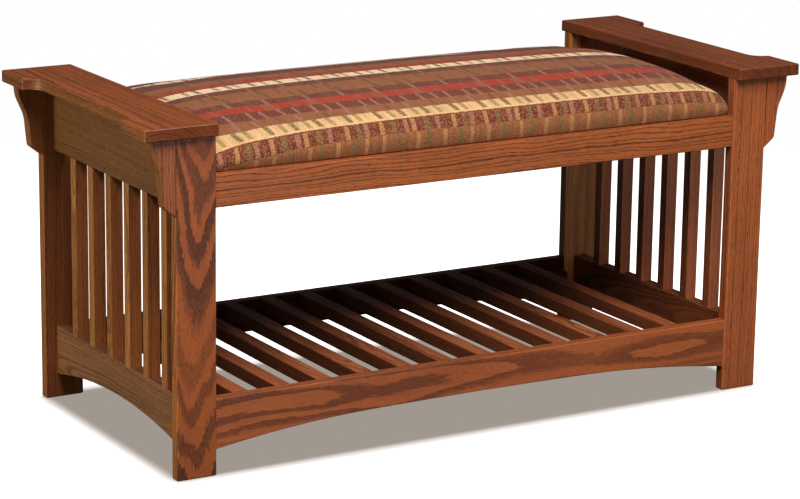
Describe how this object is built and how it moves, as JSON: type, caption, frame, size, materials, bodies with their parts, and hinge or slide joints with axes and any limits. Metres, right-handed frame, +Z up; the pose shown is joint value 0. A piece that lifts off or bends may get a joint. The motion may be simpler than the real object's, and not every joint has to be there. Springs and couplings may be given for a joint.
{
  "type": "bench",
  "caption": "Upholstered bench with slatted ends, shaped arms on corbels and a low slatted shelf between arched rails.",
  "frame": {"origin": "on the floor under the middle of the bench", "axes": "+X to the right along the bench seen from the front, +Y to the rear, +Z up"},
  "size_m": [1.219, 0.54, 0.56],
  "materials": {
    "oak": "satin",
    "plywood": "raw",
    "beech": "raw",
    "seat_cloth": "woven stripe",
    "seat_foam": "open cell foam",
    "steel": "plain"
  },
  "bodies": {
    "root": {"post_front_left": "oak", "corbel_front_left": "oak", "post_front_right": "oak", "corbel_front_right": "oak", "post_rear_left": "oak", "corbel_rear_left": "oak", "post_rear_right": "oak", "corbel_rear_right": "oak", "arm_left": "oak", "end_top_rail_left": "oak", "end_bottom_rail_left": "oak", "end_slat_left_1": "oak", "end_slat_left_2": "oak", "end_slat_left_3": "oak", "end_slat_left_4": "oak", "end_slat_left_5": "oak", "end_slat_left_6": "oak", "arm_right": "oak", "end_top_rail_right": "oak", "end_bottom_rail_right": "oak", "end_slat_right_1": "oak", "end_slat_right_2": "oak", "end_slat_right_3": "oak", "end_slat_right_4": "oak", "end_slat_right_5": "oak", "end_slat_right_6": "oak", "seat_rail_front": "oak", "shelf_rail_front": "oak", "shelf_cleat_front": "oak", "seat_rail_rear": "oak", "shelf_rail_rear": "oak", "shelf_cleat_rear": "oak", "shelf_slat_1": "oak", "shelf_slat_2": "oak", "shelf_slat_3": "oak", "shelf_slat_4": "oak", "shelf_slat_5": "oak", "shelf_slat_6": "oak", "shelf_slat_7": "oak", "shelf_slat_8": "oak", "shelf_slat_9": "oak", "shelf_slat_10": "oak", "shelf_slat_11": "oak", "shelf_slat_12": "oak", "seat_bearer_1": "oak", "seat_bearer_2": "oak", "seat_bearer_3": "oak", "seat_board": "plywood", "seat_foam": "seat_foam", "seat_cover": "seat_cloth", "arm_dowels": "beech", "seat_screws": "steel", "shelf_cleat_screws": "steel", "shelf_brads": "steel"}
  },
  "joints": []
}
